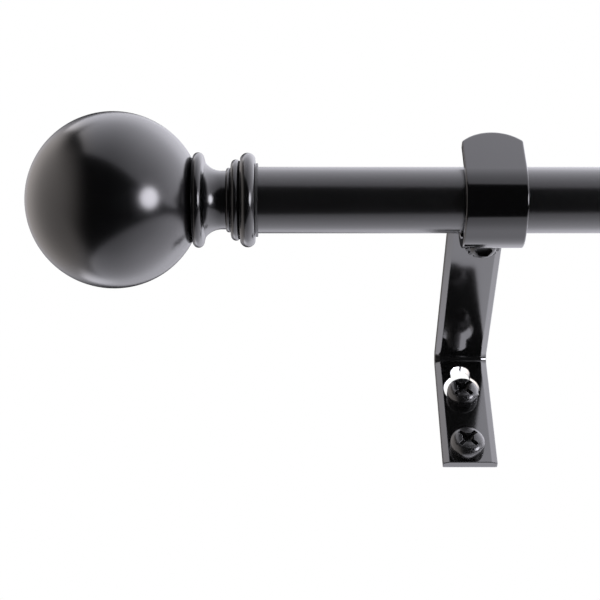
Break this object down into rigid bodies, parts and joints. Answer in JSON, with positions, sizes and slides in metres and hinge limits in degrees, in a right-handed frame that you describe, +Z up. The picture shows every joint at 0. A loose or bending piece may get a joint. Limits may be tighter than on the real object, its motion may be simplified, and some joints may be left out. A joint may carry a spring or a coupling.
{
  "type": "curtain rod with brackets",
  "caption": "Telescoping black curtain rod with ball finials, resting in U cradles clamped to wall brackets whose projection adjusts.",
  "frame": {"origin": "on the wall behind the middle of the left bracket, midway up between its two wall screws", "axes": "+X along the rod to the right, +Y into the wall, +Z up"},
  "size_m": [0.5682, 0.1224, 0.0461],
  "materials": {
    "rod_black": "satin black powder coat",
    "finial_black": "satin black powder coat",
    "bracket_black": "semi-gloss black paint",
    "screw_black": "black oxide, slightly worn",
    "washer_steel": "black zinc",
    "plain_steel": "zinc plated thread",
    "glide_plastic": "moulded black nylon",
    "plug_plastic": "moulded black"
  },
  "bodies": {
    "left_bracket": {"left_wall_bracket": "bracket_black", "left_upper_wall_screw": "screw_black", "left_lower_wall_screw": "screw_black"},
    "left_holder": {"left_cradle": "bracket_black", "left_clamp_nut": "screw_black"},
    "left_clamp": {"left_clamp_screw": "screw_black", "left_lock_washer": "washer_steel"},
    "outer_rod": {"outer_tube": "rod_black", "tube_glide": "glide_plastic", "left_end_plug": "plug_plastic"},
    "inner_rod": {"inner_tube": "rod_black", "right_end_plug": "plug_plastic"},
    "left_finial": {"left_finial_ball": "finial_black", "left_finial_neck": "finial_black", "left_finial_stud": "plain_steel"},
    "right_finial": {"right_finial_ball": "finial_black", "right_finial_neck": "finial_black", "right_finial_stud": "plain_steel"},
    "right_bracket": {"right_wall_bracket": "bracket_black", "right_upper_wall_screw": "screw_black", "right_lower_wall_screw": "screw_black"},
    "right_holder": {"right_cradle": "bracket_black", "right_clamp_nut": "screw_black"},
    "right_clamp": {"right_clamp_screw": "screw_black", "right_lock_washer": "washer_steel"}
  },
  "joints": [
    {"name": "left_projection", "type": "slide", "parent": "left_bracket", "child": "left_holder", "axis": [0, -1, 0], "range_m": [0, 0.01]},
    {"name": "left_clamp_turn", "type": "hinge", "parent": "left_holder", "child": "left_clamp", "pos_m": [0.0022, -0.0481, 0.0224], "axis": [0, 0, 1], "range_deg": [0, 720]},
    {"name": "rod_lift", "type": "slide", "parent": "left_holder", "child": "outer_rod", "axis": [0, 0, 1], "range_m": [0, 0.03]},
    {"name": "rod_extend", "type": "slide", "parent": "outer_rod", "child": "inner_rod", "axis": [1, 0, 0], "range_m": [0, 0.254]},
    {"name": "left_finial_turn", "type": "hinge", "parent": "outer_rod", "child": "left_finial", "pos_m": [-0.0557, -0.0781, 0.0071], "axis": [-1, 0, 0], "range_deg": [0, 720]},
    {"name": "right_finial_turn", "type": "hinge", "parent": "inner_rod", "child": "right_finial", "pos_m": [0.4015, -0.0781, 0.0071], "axis": [1, 0, 0], "range_deg": [0, 720]},
    {"name": "right_bracket_spread", "type": "slide", "parent": "left_bracket", "child": "right_bracket", "axis": [1, 0, 0], "range_m": [0, 0.254]},
    {"name": "right_projection", "type": "slide", "parent": "right_bracket", "child": "right_holder", "axis": [0, -1, 0], "range_m": [0, 0.01]},
    {"name": "right_clamp_turn", "type": "hinge", "parent": "right_holder", "child": "right_clamp", "pos_m": [0.348, -0.0481, 0.02384], "axis": [0, 0, 1], "range_deg": [0, 720]}
  ],
  "couplings": [
    {"joint": "right_bracket_spread", "follows": "rod_extend", "ratio": 1},
    {"joint": "right_projection", "follows": "left_projection", "ratio": 1}
  ]
}
